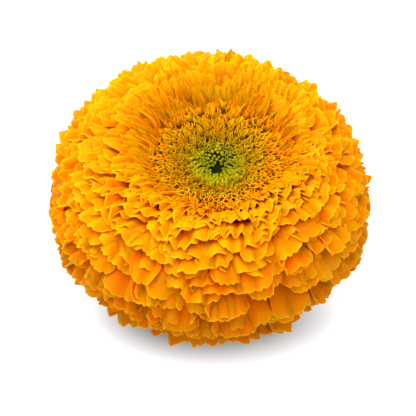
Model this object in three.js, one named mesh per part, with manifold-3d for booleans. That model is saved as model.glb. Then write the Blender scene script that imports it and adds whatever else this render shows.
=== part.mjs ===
// A cut African marigold flower head, resting on its underside: a ball of ruffled
// orange petals round a sunken eye of golden and green florets, held by a green calyx.
// Millimetres, +Z up. The origin is the centre of the calyx's flat cut base, on the surface.
import * as THREE from 'three';
import { mergeVertices } from 'three/addons/utils/BufferGeometryUtils.js';
import Module from 'manifold-3d';

const wasm = await Module();
wasm.setup();

// Driving dimensions
const HEAD_RADIUS = 40; // out to the petals' tips at the widest row
const WIDEST_HEIGHT = 24.8; // height of that row above the surface
const CREST_HEIGHT = 43.6; // top of the ring of petals round the eye
const EYE_RADIUS = 17; // where the petals give way to the golden florets
const GREEN_RADIUS = 7.4; // where the golden florets give way to the green ones
const EYE_MIDDLE_HEIGHT = 34; // the eye is a shallow bowl with its lowest point here
const EYE_RISE = 4.6; // and this much higher at its edge
const EYE_SHIFT = 1.8; // the eye lies this far off the middle, towards +X
const SEAT_HEIGHT = 29.8; // flat seat in the petals' core that carries the eye
const CALYX_MOUTH_RADIUS = 10.6;
const CALYX_BASE_RADIUS = 4.5;
const CALYX_TEETH = 10;
const GAP = 0.3; // clearance between touching pieces
const BLADE_THICKNESS = 0.65;
const ROOT_DEPTH = 1.6; // how far a root is sunk into what it grows from
const CORE_SIDES = 24;
const GOLDEN_ANGLE = Math.PI * (3 - Math.sqrt(5));
const SPIRAL_PACKING = 0.87; // area that a spiral gives to each floret, over its spacing squared

// Each step has a petal's root and its tip as [radius, height]. The steps run from the
// edge of the eye, over the crest and the widest row, down to the surface. Upright
// petals ring the eye, and they lie back more and more towards the surface.
const PETAL_STEPS = [
  { root: [EYE_RADIUS + 1.2, CREST_HEIGHT - 9.4], tip: [EYE_RADIUS + 0.4, CREST_HEIGHT - 4.2] },
  { root: [20, CREST_HEIGHT - 7.4], tip: [21.4, CREST_HEIGHT - 1.2] },
  { root: [21.8, CREST_HEIGHT - 6.4], tip: [26, CREST_HEIGHT] },
  { root: [23.8, CREST_HEIGHT - 6.4], tip: [30.8, CREST_HEIGHT - 2] },
  { root: [26.2, CREST_HEIGHT - 7.5], tip: [35.2, CREST_HEIGHT - 6.1] },
  { root: [28.6, WIDEST_HEIGHT + 9.2], tip: [38.5, WIDEST_HEIGHT + 6.7] },
  { root: [30.4, WIDEST_HEIGHT + 5.8], tip: [HEAD_RADIUS, WIDEST_HEIGHT] },
  { root: [31.4, WIDEST_HEIGHT + 1.6], tip: [39.3, WIDEST_HEIGHT - 7.2] },
  { root: [31.2, WIDEST_HEIGHT - 3.2], tip: [37, 10.8] },
  { root: [29, 17.4], tip: [33.2, 5.4] },
  { root: [25, 14.8], tip: [29.4, 1.6] },
  { root: [19.4, 13.4], tip: [25.2, 0.1] },
  { root: [14, 12.6], tip: [19.4, 0.4] },
];
const splineThrough = (key) => new THREE.SplineCurve(
  PETAL_STEPS.map((step) => new THREE.Vector2(...step[key])));
const ROOT_CURVE = splineThrough('root'); // which is also the core's outline
const TIP_CURVE = splineThrough('tip');

// The calyx's inner wall, from its floor to its mouth, as [radius, height]
const CALYX_INNER = [[0, 5.2], [5.6, 6.2], [8.4, 8.6], [CALYX_MOUTH_RADIUS - 1.2, 11.4]];

// A repeatable random draw from 0 to 1
function randomDraw(seed) {
  let state = seed;
  return () => {
    state = (state + 0x6d2b79f5) | 0;
    let mixed = Math.imul(state ^ (state >>> 15), 1 | state);
    mixed = (mixed + Math.imul(mixed ^ (mixed >>> 7), 61 | mixed)) ^ mixed;
    return ((mixed ^ (mixed >>> 14)) >>> 0) / 4294967296;
  };
}

// A solid from vertices and triangles, turned right side out
function solidFrom(vertices, triangles) {
  const build = (faces) => new wasm.Manifold(new wasm.Mesh({
    numProp: 3,
    vertProperties: new Float32Array(vertices),
    triVerts: new Uint32Array(faces),
  }));
  const solid = build(triangles);
  if (solid.volume() > 0) return solid;
  const turned = [];
  for (let i = 0; i < triangles.length; i += 3) {
    turned.push(triangles[i], triangles[i + 2], triangles[i + 1]);
  }
  return build(turned);
}

// A solid from a three.js geometry whose shared vertices are not merged yet
function solidOf(geometry) {
  const bare = geometry.clone();
  bare.deleteAttribute('normal');
  bare.deleteAttribute('uv');
  const merged = mergeVertices(bare, 1e-4);
  return solidFrom(merged.attributes.position.array, merged.index.array);
}

// Joins a list of solids two by two
function joinAll(solids) {
  let round = solids;
  while (round.length > 1) {
    const next = [];
    for (let i = 0; i < round.length; i += 2) {
      next.push(i + 1 < round.length ? round[i].add(round[i + 1]) : round[i]);
    }
    round = next;
  }
  return round[0];
}

function geometryOf(solid) {
  const mesh = solid.getMesh();
  const stride = mesh.numProp;
  const position = new Float32Array(mesh.numVert * 3);
  for (let i = 0; i < mesh.numVert; i++) {
    position.set(mesh.vertProperties.subarray(i * stride, i * stride + 3), i * 3);
  }
  const geometry = new THREE.BufferGeometry();
  geometry.setAttribute('position', new THREE.BufferAttribute(position, 3));
  geometry.setIndex(new THREE.BufferAttribute(new Uint32Array(mesh.triVerts), 1));
  geometry.computeVertexNormals();
  return geometry;
}

function latheSolid(profile, sides) {
  return solidOf(new THREE.LatheGeometry(profile.map(([r, z]) => new THREE.Vector2(r, z)), sides)
    .rotateX(Math.PI / 2));
}

// An upright tube, or a full cylinder where the inner radius is zero
function tubeSolid(inner, outer, bottom, top) {
  const profile = [[inner, bottom], [outer, bottom], [outer, top], [inner, top]];
  if (inner > 0) profile.push([inner, bottom]);
  return latheSolid(profile, CORE_SIDES);
}

// Triangles between two rows of points that run across a blade, as [row, place] pairs
function zipRows(lower, upper, lowerRow, upperRow) {
  const triangles = [];
  let i = 0;
  let j = 0;
  while (i < lower.length - 1 || j < upper.length - 1) {
    const stepLower = j === upper.length - 1
      || (i < lower.length - 1 && lower[i + 1].across <= upper[j + 1].across);
    if (stepLower) {
      triangles.push([[lowerRow, i], [lowerRow, i + 1], [upperRow, j]]);
      i++;
    } else {
      triangles.push([[lowerRow, i], [upperRow, j + 1], [upperRow, j]]);
      j++;
    }
  }
  return triangles;
}

// A thin closed blade on rows of points. Each point has its share along the petal's
// midline, its place across from -1 to 1, and its lift off the blade's face.
function bladeSolid(rows, place) {
  const count = rows.reduce((sum, row) => sum + row.length, 0);
  const start = [];
  let total = 0;
  rows.forEach((row) => {
    start.push(total);
    total += row.length;
  });
  const upperFace = [];
  const lowerFace = [];
  rows.forEach((row) => row.forEach((point) => {
    const { middle, normal } = place(point);
    upperFace.push(...middle.clone().addScaledVector(normal, BLADE_THICKNESS / 2));
    lowerFace.push(...middle.clone().addScaledVector(normal, -BLADE_THICKNESS / 2));
  }));
  const index = ([row, at]) => start[row] + at;
  const triangles = [];
  for (let row = 0; row + 1 < rows.length; row++) {
    zipRows(rows[row], rows[row + 1], row, row + 1).forEach((corners) => {
      const [a, b, c] = corners.map(index);
      triangles.push(a, b, c, count + a, count + c, count + b);
    });
  }
  const last = rows.length - 1;
  const rim = rows[0].map((_, at) => index([0, at]));
  for (let row = 1; row < last; row++) rim.push(index([row, rows[row].length - 1]));
  for (let at = rows[last].length - 1; at >= 0; at--) rim.push(index([last, at]));
  for (let row = last - 1; row > 0; row--) rim.push(index([row, 0]));
  rim.forEach((a, i) => {
    const b = rim[(i + 1) % rim.length];
    triangles.push(b, a, count + a, b, count + a, count + b);
  });
  return solidFrom([...upperFace, ...lowerFace], triangles);
}

// One petal: a narrow root, a cupped middle and a wide edge with two lobes
function petalSolid(share, azimuth, size, draw) {
  const jitter = (amount) => (draw() - 0.5) * 2 * amount;
  const rootPoint = ROOT_CURVE.getPoint(share);
  const tipPoint = TIP_CURVE.getPoint(share);
  const reach = tipPoint.clone().sub(rootPoint);
  const length = reach.length();
  const upSlope = new THREE.Vector2(-reach.y, reach.x).divideScalar(length);
  const bend = rootPoint.clone().add(tipPoint).multiplyScalar(0.5)
    .addScaledVector(upSlope, length * (0.2 + jitter(0.04)));
  const middleLine = new THREE.QuadraticBezierCurve(rootPoint, bend, tipPoint);
  const sunk = rootPoint.clone().addScaledVector(
    bend.clone().sub(rootPoint).normalize(), -ROOT_DEPTH);
  const halfWidth = size / 2;
  const roll = jitter(0.16);
  const cup = 0.06 * size;
  const ruffle = 0.075 * size * (draw() < 0.5 ? -1 : 1);
  const rows = [
    [{ along: -1, across: 0, lift: 0 }],
    [{ along: 0.5, across: -1, lift: cup }, { along: 0.5, across: 1, lift: cup }],
    [
      { along: 0.84 + jitter(0.04), across: -1, lift: ruffle },
      { along: 0.99 + jitter(0.04), across: -0.55, lift: -ruffle },
      { along: 0.92, across: jitter(0.1), lift: ruffle * 0.5 },
      { along: 0.99 + jitter(0.04), across: 0.55, lift: -ruffle },
      { along: 0.84 + jitter(0.04), across: 1, lift: ruffle },
    ],
  ];
  const widthAt = [0, 0.72, 1];
  rows.forEach((row, at) => row.forEach((point) => {
    point.width = widthAt[at] * halfWidth;
  }));
  const outward = new THREE.Vector3(Math.cos(azimuth), Math.sin(azimuth), 0);
  const sideways = new THREE.Vector3(-Math.sin(azimuth), Math.cos(azimuth), 0);
  const up = new THREE.Vector3(0, 0, 1);
  return bladeSolid(rows, (point) => {
    const along = Math.max(point.along, 0);
    const flat = point.along < 0 ? sunk : middleLine.getPoint(along);
    const tangent = middleLine.getTangent(along);
    const normal = outward.clone().multiplyScalar(-tangent.y).addScaledVector(up, tangent.x);
    const side = sideways.clone().multiplyScalar(Math.cos(roll * along))
      .addScaledVector(normal, Math.sin(roll * along));
    const middle = outward.clone().multiplyScalar(flat.x).addScaledVector(up, flat.y)
      .addScaledVector(side, point.across * point.width)
      .addScaledVector(normal, point.lift);
    return { middle, normal };
  });
}

// Shares along the curves, so that each petal has the area that its size asks for
function petalShares(sizeAt) {
  const shares = [];
  const steps = 2000;
  const packing = 0.71; // how loosely the tips cover the head
  let filled = 0;
  for (let i = 0; i < steps; i++) {
    const share = (i + 0.5) / steps;
    const here = TIP_CURVE.getPoint(share);
    const stepLength = TIP_CURVE.getPoint((i + 1) / steps)
      .distanceTo(TIP_CURVE.getPoint(i / steps));
    filled += 2 * Math.PI * here.x * stepLength / (packing * sizeAt(share) ** 2);
    if (filled >= 1) {
      filled -= 1;
      shares.push(share);
    }
  }
  return shares;
}

// The petals grow in a spiral from a dense core, and the lowest lie on the surface
function petals() {
  const draw = randomDraw(11);
  const narrowest = 4.8;
  const widest = 10;
  const fullWidthShare = 0.36; // from here down, every petal has its full width
  const sizeAt = (share) => (
    narrowest + (widest - narrowest) * Math.min(1, share / fullWidthShare) ** 0.8);
  const core = [];
  const coreSteps = 7;
  for (let i = 0; i <= coreSteps; i++) {
    const point = ROOT_CURVE.getPoint(i / coreSteps);
    core.push([point.x, point.y]);
  }
  const neck = CALYX_INNER.map(([r, z]) => [Math.max(0, r - GAP), z + (r === 0 ? GAP : GAP / 2)]);
  const profile = [
    ...neck,
    [CALYX_MOUTH_RADIUS - 1, 13.6],
    ...core.reverse(),
    [0, core.at(-1)[1]],
  ];
  const solids = [latheSolid(profile, CORE_SIDES)];
  petalShares(sizeAt).forEach((share, count) => {
    const size = sizeAt(share) * (0.94 + 0.12 * draw());
    const azimuth = count * GOLDEN_ANGLE + (draw() - 0.5) * 0.3 * size / HEAD_RADIUS;
    solids.push(petalSolid(share, azimuth, size, draw));
  });
  const belowDepth = 20;
  const below = solidOf(new THREE.BoxGeometry(4 * HEAD_RADIUS, 4 * HEAD_RADIUS, belowDepth)
    .translate(0, 0, -belowDepth / 2));
  const eyeWell = tubeSolid(0, EYE_RADIUS, SEAT_HEIGHT, 2 * CREST_HEIGHT);
  return joinAll(solids).subtract(below).subtract(eyeWell);
}

// Height of the tops of the eye's florets
const eyeHeight = (radius) => EYE_MIDDLE_HEIGHT + EYE_RISE * (radius / EYE_RADIUS) ** 1.3;

// A small floret: a pointed root below, a five-sided widest ring and a top on its axis,
// which is sunk for an open mouth and raised for a closed bud
function floretSolid({ radius, azimuth, base, height, width, lean, sink, turn }) {
  const sides = 5;
  const axis = new THREE.Vector3(
    Math.sin(lean) * Math.cos(azimuth), Math.sin(lean) * Math.sin(azimuth), Math.cos(lean));
  const across = new THREE.Vector3(-Math.sin(azimuth), Math.cos(azimuth), 0);
  const other = axis.clone().cross(across);
  const foot = new THREE.Vector3(radius * Math.cos(azimuth), radius * Math.sin(azimuth), base);
  const ringMiddle = foot.clone().addScaledVector(axis, height + Math.min(sink, 0));
  const vertices = [
    ...foot.clone().addScaledVector(axis, -ROOT_DEPTH),
    ...foot.clone().addScaledVector(axis, height - Math.max(sink, 0)),
  ];
  const triangles = [];
  for (let i = 0; i < sides; i++) {
    const angle = turn + (i / sides) * 2 * Math.PI;
    vertices.push(...ringMiddle.clone()
      .addScaledVector(across, Math.cos(angle) * width / 2)
      .addScaledVector(other, Math.sin(angle) * width / 2));
    const here = 2 + i;
    const next = 2 + ((i + 1) % sides);
    triangles.push(0, next, here, 1, here, next);
  }
  return solidFrom(vertices, triangles);
}

// Florets set in a spiral between two radii on a base of their own, and trimmed there
function floretPatch({ inner, outer, spacing, height, seed, shape }) {
  const draw = randomDraw(seed);
  const baseSteps = 3;
  const profile = [[inner, SEAT_HEIGHT + GAP], [outer, SEAT_HEIGHT + GAP]];
  for (let i = baseSteps; i >= 0; i--) {
    const radius = inner + (outer - inner) * i / baseSteps;
    profile.push([radius, eyeHeight(radius) - height]);
  }
  if (inner > 0) profile.push(profile[0]);
  const solids = [latheSolid(profile, CORE_SIDES)];
  const areaEach = spacing ** 2 * SPIRAL_PACKING;
  const count = Math.floor(Math.PI * (outer ** 2 - inner ** 2) / areaEach);
  for (let i = 0; i < count; i++) {
    const radius = Math.sqrt(inner ** 2 + (i + 0.5) * areaEach / Math.PI);
    solids.push(floretSolid({
      radius,
      azimuth: i * GOLDEN_ANGLE + (draw() - 0.5) * 0.2 * spacing / radius,
      base: eyeHeight(radius) - height,
      height: height * (0.9 + 0.2 * draw()),
      turn: draw() * Math.PI,
      ...shape(radius, draw),
    }));
  }
  return joinAll(solids).intersect(tubeSolid(inner, outer, SEAT_HEIGHT, 2 * CREST_HEIGHT));
}

// The ring of half-open golden florets round the green middle
function goldenFlorets() {
  return floretPatch({
    inner: GREEN_RADIUS + GAP,
    outer: EYE_RADIUS - GAP,
    spacing: 3.05,
    height: 3.6,
    seed: 23,
    shape: (radius, draw) => ({
      width: 3 + 0.5 * draw(),
      sink: 1.4,
      lean: (radius - 12) * 0.02 + (draw() - 0.5) * 0.15,
    }),
  });
}

// The closed green florets in the middle, which lean in over it
function greenFlorets() {
  return floretPatch({
    inner: 0,
    outer: GREEN_RADIUS,
    spacing: 2.2,
    height: 2.6,
    seed: 37,
    shape: (radius, draw) => ({
      width: 2.1,
      sink: -0.9,
      lean: -0.05 * radius + (draw() - 0.5) * 0.15,
    }),
  });
}

// The calyx: bracts grown together in a ribbed cup with pointed teeth, on the cut
// end of the stem's swollen top
function calyx() {
  const stepsPerTooth = 4;
  const sides = CALYX_TEETH * stepsPerTooth;
  const toothHeight = 1.6;
  const toothFlare = 0.3;
  const ribDepth = 0.035; // as a share of the radius
  const rings = [
    { r: CALYX_BASE_RADIUS, z: 0 },
    { r: CALYX_BASE_RADIUS + 0.1, z: 1.8 },
    { r: 6.8, z: 4.2, rib: 0.5 },
    { r: 9.4, z: 7.6, rib: 1 },
    { r: CALYX_MOUTH_RADIUS, z: 11.2, rib: 1, tooth: 1 },
    { r: CALYX_MOUTH_RADIUS - 1, z: 11.4, tooth: 0.9 },
    ...CALYX_INNER.slice(1, -1).reverse().map(([r, z]) => ({ r, z })),
  ];
  const vertices = [];
  const triangles = [];
  rings.forEach(({ r, z, rib = 0, tooth = 0 }) => {
    for (let i = 0; i < sides; i++) {
      const angle = (i / sides) * 2 * Math.PI;
      const wave = (1 - Math.cos(angle * CALYX_TEETH)) / 2;
      const radius = r * (1 + ribDepth * rib * (wave - 1)) + toothFlare * tooth * wave;
      vertices.push(
        radius * Math.cos(angle), radius * Math.sin(angle), z + toothHeight * tooth * wave);
    }
  });
  const base = vertices.length / 3;
  vertices.push(0, 0, 0, 0, 0, CALYX_INNER[0][1]);
  for (let i = 0; i < sides; i++) {
    const next = (i + 1) % sides;
    for (let ring = 0; ring + 1 < rings.length; ring++) {
      const [a, b] = [ring * sides + i, ring * sides + next];
      triangles.push(a, b, b + sides, a, b + sides, a + sides);
    }
    const last = (rings.length - 1) * sides;
    triangles.push(base, next, i, base + 1, last + i, last + next);
  }
  return solidFrom(vertices, triangles);
}

// The top of the head leans a little towards +X, so the eye is off centre
function leaned(geometry) {
  const position = geometry.getAttribute('position');
  const shiftStart = 16;
  for (let i = 0; i < position.count; i++) {
    const radius = Math.hypot(position.getX(i), position.getY(i));
    const inner = 1 - THREE.MathUtils.smoothstep(radius, EYE_RADIUS - 5, HEAD_RADIUS - 4);
    const upper = THREE.MathUtils.smoothstep(position.getZ(i), shiftStart, EYE_MIDDLE_HEIGHT);
    position.setX(i, position.getX(i) + EYE_SHIFT * inner * upper);
  }
  return geometry;
}

const group = new THREE.Group();
for (const [name, solid, color, roughness] of [
  ['petals', petals(), 0xf79a06, 0.55],
  ['golden_florets', goldenFlorets(), 0xc98f0c, 0.6],
  ['green_florets', greenFlorets(), 0x8f9410, 0.6],
  ['calyx', calyx(), 0x5f8a35, 0.6],
]) {
  const material = new THREE.MeshStandardMaterial({ color, roughness, metalness: 0 });
  const mesh = new THREE.Mesh(leaned(geometryOf(solid)), material);
  mesh.name = name;
  group.add(mesh);
}

export default group;
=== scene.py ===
"""A cut African marigold flower head, resting on its underside on a pale surface.

Ruffled orange petals in a spiral, small rolled petals round the sunken eye, golden and
green florets in the eye, and a ribbed green calyx with its cut face below. Metres, +Z up.
"""
import math
from typing import NamedTuple

import bpy
import numpy as np
from mathutils import Matrix, Vector


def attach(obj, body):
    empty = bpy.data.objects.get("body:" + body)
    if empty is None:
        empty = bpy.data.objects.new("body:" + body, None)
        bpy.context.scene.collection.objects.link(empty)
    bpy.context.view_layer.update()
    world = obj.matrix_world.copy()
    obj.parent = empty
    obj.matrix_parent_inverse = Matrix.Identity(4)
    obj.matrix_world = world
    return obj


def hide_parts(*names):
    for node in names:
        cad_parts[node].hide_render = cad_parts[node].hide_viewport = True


bl_info = {
    "name": "Marigold flower head",
    "version": (1, 0, 0),
    "blender": (4, 5, 0),
    "location": "3D View > Sidebar > Marigold",
    "description": "Models a full double marigold flower head and its studio",
    "category": "Add Mesh",
}

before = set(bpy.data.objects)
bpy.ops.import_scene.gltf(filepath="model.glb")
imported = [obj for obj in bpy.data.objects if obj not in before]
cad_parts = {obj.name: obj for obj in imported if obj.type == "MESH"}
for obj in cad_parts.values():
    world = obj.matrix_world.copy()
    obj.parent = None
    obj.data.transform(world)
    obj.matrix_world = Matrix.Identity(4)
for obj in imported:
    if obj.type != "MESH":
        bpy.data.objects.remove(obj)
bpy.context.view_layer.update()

MM = 0.001
GOLDEN_ANGLE = math.pi * (3 - math.sqrt(5))
SPIRAL_PACKING = 0.87

# The head's driving dimensions in millimetres
HEAD_RADIUS = 40.0
WIDEST_HEIGHT = 24.8
CREST_HEIGHT = 43.6
EYE_RADIUS = 17.0
GREEN_RADIUS = 7.4
EYE_MIDDLE_HEIGHT = 34.0
EYE_RISE = 4.6
EYE_SHIFT = 1.8
SEAT_HEIGHT = 29.8
CALYX_MOUTH_RADIUS = 10.6
CALYX_BASE_RADIUS = 4.5
CALYX_TEETH = 10

# The eye's shift towards +X fades out between these radii and starts at this height
SHIFT_RADII = (EYE_RADIUS - 5, HEAD_RADIUS - 4)
SHIFT_START = 16.0
# The crest leans the other way by this much, between these radii and heights
CREST_SHIFT = 0.5
CREST_RADII = (20, 34)
CREST_HEIGHTS = (27, 40)
# Tips past the reach are drawn in, and end within the room beyond it
WIDEST_REACH = 39.0
WIDEST_ROOM = 1.2
HIGHEST_REACH = 42.3
HIGHEST_ROOM = 1.9

# Each petal's root and tip as (radius, height), from the eye's edge over the crest and
# the widest row down to the surface
PETAL_STEPS = [
    ((EYE_RADIUS + 1.2, CREST_HEIGHT - 9.4), (EYE_RADIUS + 0.4, CREST_HEIGHT - 4.2)),
    ((20, CREST_HEIGHT - 7.4), (21.4, CREST_HEIGHT - 1.2)),
    ((21.8, CREST_HEIGHT - 6.4), (26, CREST_HEIGHT)),
    ((23.8, CREST_HEIGHT - 6.4), (30.8, CREST_HEIGHT - 2)),
    ((26.2, CREST_HEIGHT - 7.5), (34.4, CREST_HEIGHT - 6.4)),
    ((28.6, WIDEST_HEIGHT + 9.2), (37.8, WIDEST_HEIGHT + 6.4)),
    ((30.4, WIDEST_HEIGHT + 5.8), (HEAD_RADIUS, WIDEST_HEIGHT)),
    ((31.4, WIDEST_HEIGHT + 1.6), (HEAD_RADIUS, WIDEST_HEIGHT - 7.2)),
    ((31.2, WIDEST_HEIGHT - 3.2), (37.8, 11.6)),
    ((29, 17.4), (33.6, 6.6)),
    ((25, 14.8), (28.8, 3.0)),
    ((19.4, 13.4), (24.0, 1.0)),
    ((14, 12.6), (19.4, 0.4)),
]
# Width of the petals at each of these steps, as a share of the widest
WIDTH_STEPS = [0.32, 0.52, 0.74, 0.88, 0.95, 1, 1, 1, 1.04, 1.06, 1.04, 1, 0.95]
# Room of a petal on the crest, as a share of the room in the lower rows, and the places
# along the curve between which it widens
CREST_CROWDING = 0.62
CROWDING_PLACES = (0.1, 0.6)
ROOT_STEPS = [step[0] for step in PETAL_STEPS]
TIP_STEPS = [step[1] for step in PETAL_STEPS]


def point_on(steps, share):
    """The point at a share from 0 to 1 along a smooth curve through the steps."""
    points = np.array(steps, float)
    place = share * (len(points) - 1)
    at = min(int(place), len(points) - 2)
    t = place - at
    before = points[max(at - 1, 0)]
    here = points[at]
    after = points[at + 1]
    beyond = points[min(at + 2, len(points) - 1)]
    leave = (after - before) / 2
    arrive = (beyond - here) / 2
    return ((2 * here - 2 * after + leave + arrive) * t ** 3
            + (-3 * here + 3 * after - 2 * leave - arrive) * t ** 2 + leave * t + here)


def eye_height(radius):
    """Height of the tops of the eye's florets at a radius, in millimetres."""
    return EYE_MIDDLE_HEIGHT + EYE_RISE * (radius / EYE_RADIUS) ** 1.3


def smooth_step(low, high, value):
    """0 below the low value and 1 above the high one, with a soft rise between them."""
    share = np.clip((np.asarray(value, float) - low) / (high - low), 0, 1)
    return share * share * (3 - 2 * share)


def soft_limit(value, start, room):
    """Values over the start are drawn in, so that none passes the start by more than the room."""
    over = np.maximum(value - start, 0)
    return np.minimum(value, start) + room * np.tanh(over / room)


def deselect_all():
    if bpy.context.object is not None and bpy.context.object.mode != "OBJECT":
        bpy.ops.object.mode_set(mode="OBJECT")
    bpy.ops.object.select_all(action="DESELECT")


def make_active(piece):
    deselect_all()
    piece.select_set(True)
    bpy.context.view_layer.objects.active = piece


def apply_modifier(piece, kind, **values):
    """Adds a modifier with these values and applies it."""
    modifier = piece.modifiers.new(kind.lower(), kind)
    for name, value in values.items():
        setattr(modifier, name, value)
    make_active(piece)
    bpy.ops.object.modifier_apply(modifier=modifier.name)


def shade_smooth(piece, crease=None):
    """Shades a piece smoothly, and leaves edges over the crease angle in degrees hard."""
    make_active(piece)
    if crease is None:
        bpy.ops.object.shade_smooth()
    else:
        bpy.ops.object.shade_smooth_by_angle(angle=math.radians(crease))


def coordinates(mesh):
    flat = np.empty(len(mesh.vertices) * 3)
    mesh.vertices.foreach_get("co", flat)
    return flat.reshape(-1, 3)


def set_coordinates(mesh, places):
    mesh.vertices.foreach_set("co", places.ravel())
    mesh.update()


def azimuth_of(places):
    return np.arctan2(places[:, 1], places[:, 0])


def add_value(mesh, name, value):
    """Stores a number on each vertex of a mesh, or one number on all, for its material."""
    attribute = mesh.attributes.new(name, "FLOAT", "POINT")
    attribute.data.foreach_set("value", np.full(len(mesh.vertices), value, np.float32))


def copy_piece(context, piece):
    """A copy with a mesh of its own, in the scene."""
    copy = piece.copy()
    copy.data = piece.data.copy()
    context.collection.objects.link(copy)
    return copy


def join_pieces(pieces, name):
    deselect_all()
    for piece in pieces:
        piece.select_set(True)
    bpy.context.view_layer.objects.active = pieces[0]
    bpy.ops.object.join()
    joined = bpy.context.object
    joined.name = name
    joined.data.name = name
    return joined


def lean_head(piece):
    """Shifts the eye a little towards +X, and keeps the head above the surface."""
    places = coordinates(piece.data) / MM
    radius = np.hypot(places[:, 0], places[:, 1])
    inner = 1 - smooth_step(*SHIFT_RADII, radius)
    upper = smooth_step(SHIFT_START, EYE_MIDDLE_HEIGHT, places[:, 2])
    limited = soft_limit(radius, WIDEST_REACH, WIDEST_ROOM)
    places[:, :2] *= (limited / np.maximum(radius, 1e-6))[:, None]
    outer_crest = smooth_step(*CREST_RADII, radius) * smooth_step(*CREST_HEIGHTS, places[:, 2])
    places[:, 0] += EYE_SHIFT * inner * upper - CREST_SHIFT * outer_crest
    places[:, 2] = np.maximum(soft_limit(places[:, 2], HIGHEST_REACH, HIGHEST_ROOM), 0.0)
    set_coordinates(piece.data, places * MM)


def finish_piece(piece, material, slot, *nodes):
    """Gives a piece its material and its place in the frame."""
    piece.data.materials.clear()
    piece.data.materials.append(material)
    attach(piece, "root")
    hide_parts(*nodes)


def turned_shell(name, rings, sides, closed_top=False):
    """A shell made by extruding a circle from ring to ring. Rings are (radius, height)."""
    deselect_all()
    radius, height = rings[0]
    bpy.ops.mesh.primitive_circle_add(
        vertices=sides, radius=radius * MM, location=(0, 0, height * MM), fill_type="NOTHING")
    piece = bpy.context.object
    piece.name = name
    bpy.ops.object.transform_apply(location=True, rotation=True, scale=True)
    bpy.ops.object.mode_set(mode="EDIT")
    bpy.ops.mesh.select_all(action="SELECT")
    for ring_radius, ring_height in rings[1:]:
        bpy.ops.mesh.extrude_region_move(
            TRANSFORM_OT_translate={"value": (0, 0, (ring_height - height) * MM)})
        scale = ring_radius / radius
        bpy.ops.transform.resize(value=(scale, scale, 1), center_override=(0, 0, 0))
        radius, height = ring_radius, ring_height
    if closed_top:
        bpy.ops.mesh.edge_face_add()
    bpy.ops.mesh.select_all(action="SELECT")
    bpy.ops.mesh.remove_doubles(threshold=1e-6)
    bpy.ops.mesh.normals_make_consistent(inside=False)
    bpy.ops.object.mode_set(mode="OBJECT")
    return piece


# Sizes and colours


class MARIGOLD_PG_petals(bpy.types.PropertyGroup):
    """Sizes and colours of the petals."""
    widest: bpy.props.FloatProperty(
        name="Widest petal", description="Width of a petal in the outer rows",
        default=10.4 * MM, min=4 * MM, max=20 * MM, unit="LENGTH", subtype="DISTANCE")
    thickness: bpy.props.FloatProperty(
        name="Thickness", description="Thickness of the widest petal",
        default=0.22 * MM, min=0.1 * MM, max=1 * MM, unit="LENGTH", subtype="DISTANCE")
    packing: bpy.props.FloatProperty(
        name="Packing", description="Surface that each petal gets, over its width squared",
        default=0.29, min=0.2, max=1.5, subtype="FACTOR")
    seed: bpy.props.IntProperty(
        name="Seed", description="Start of the random draws for the petals", default=6, min=0)
    face_colour: bpy.props.FloatVectorProperty(
        name="Face", description="Colour of a petal's face", subtype="COLOR", size=4,
        default=(0.99, 0.295, 0.0, 1), min=0, max=1)
    # A petal's deeper orange root is partly its own colour and partly painted shade where it lies
    # under the petal above
    root_colour: bpy.props.FloatVectorProperty(
        name="Root", description="Colour deep between the petals", subtype="COLOR", size=4,
        default=(0.98, 0.205, 0.0, 1), min=0, max=1)
    # Colour of the painted highlight along a petal's thin edge
    rim_highlight_colour: bpy.props.FloatVectorProperty(
        name="Rim", description="Colour of a petal's thin edge", subtype="COLOR", size=4,
        default=(1.0, 0.45, 0.003, 1), min=0, max=1)
    young_colour: bpy.props.FloatVectorProperty(
        name="Young", description="Colour of the small petals round the eye", subtype="COLOR",
        size=4, default=(0.84, 0.26, 0.0, 1), min=0, max=1)


class MARIGOLD_PG_eye(bpy.types.PropertyGroup):
    """Sizes and colours of the florets in the eye."""
    golden_spacing: bpy.props.FloatProperty(
        name="Golden spacing", description="Distance between golden florets",
        default=1.22 * MM, min=1 * MM, max=5 * MM, unit="LENGTH", subtype="DISTANCE")
    green_spacing: bpy.props.FloatProperty(
        name="Green spacing", description="Distance between green florets",
        default=1.05 * MM, min=0.8 * MM, max=4 * MM, unit="LENGTH", subtype="DISTANCE")
    golden_colour: bpy.props.FloatVectorProperty(
        name="Golden", description="Colour of the half-open florets", subtype="COLOR", size=4,
        default=(0.665, 0.25, 0.0, 1), min=0, max=1)
    green_colour: bpy.props.FloatVectorProperty(
        name="Green", description="Colour of the closed florets", subtype="COLOR", size=4,
        default=(0.34, 0.285, 0.003, 1), min=0, max=1)


class MARIGOLD_PG_calyx(bpy.types.PropertyGroup):
    """Sizes and colours of the calyx."""
    tooth_height: bpy.props.FloatProperty(
        name="Tooth height", description="Height of the teeth at the calyx's mouth",
        default=1.6 * MM, min=0, max=4 * MM, unit="LENGTH", subtype="DISTANCE")
    bract_colour: bpy.props.FloatVectorProperty(
        name="Bract", description="Colour of the calyx's ribs", subtype="COLOR", size=4,
        default=(0.12, 0.25, 0.035, 1), min=0, max=1)
    cut_colour: bpy.props.FloatVectorProperty(
        name="Cut face", description="Colour of the cut stem", subtype="COLOR", size=4,
        default=(0.5, 0.6, 0.3, 1), min=0, max=1)


class MARIGOLD_PG_stage(bpy.types.PropertyGroup):
    """The studio round the flower."""
    camera_distance: bpy.props.FloatProperty(
        name="Camera distance", description="From the aim point to the camera",
        default=0.462, min=0.1, max=5, unit="LENGTH", subtype="DISTANCE")
    camera_elevation: bpy.props.FloatProperty(
        name="Camera elevation", description="Angle of the view above the surface",
        default=math.radians(51), min=0, max=math.pi / 2, unit="ROTATION", subtype="ANGLE")
    lens: bpy.props.FloatProperty(
        name="Lens", description="Focal length in millimetres", default=160, min=20, max=400)


SETTINGS = {
    "marigold_petals": MARIGOLD_PG_petals,
    "marigold_eye": MARIGOLD_PG_eye,
    "marigold_calyx": MARIGOLD_PG_calyx,
    "marigold_stage": MARIGOLD_PG_stage,
}


# Materials

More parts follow.
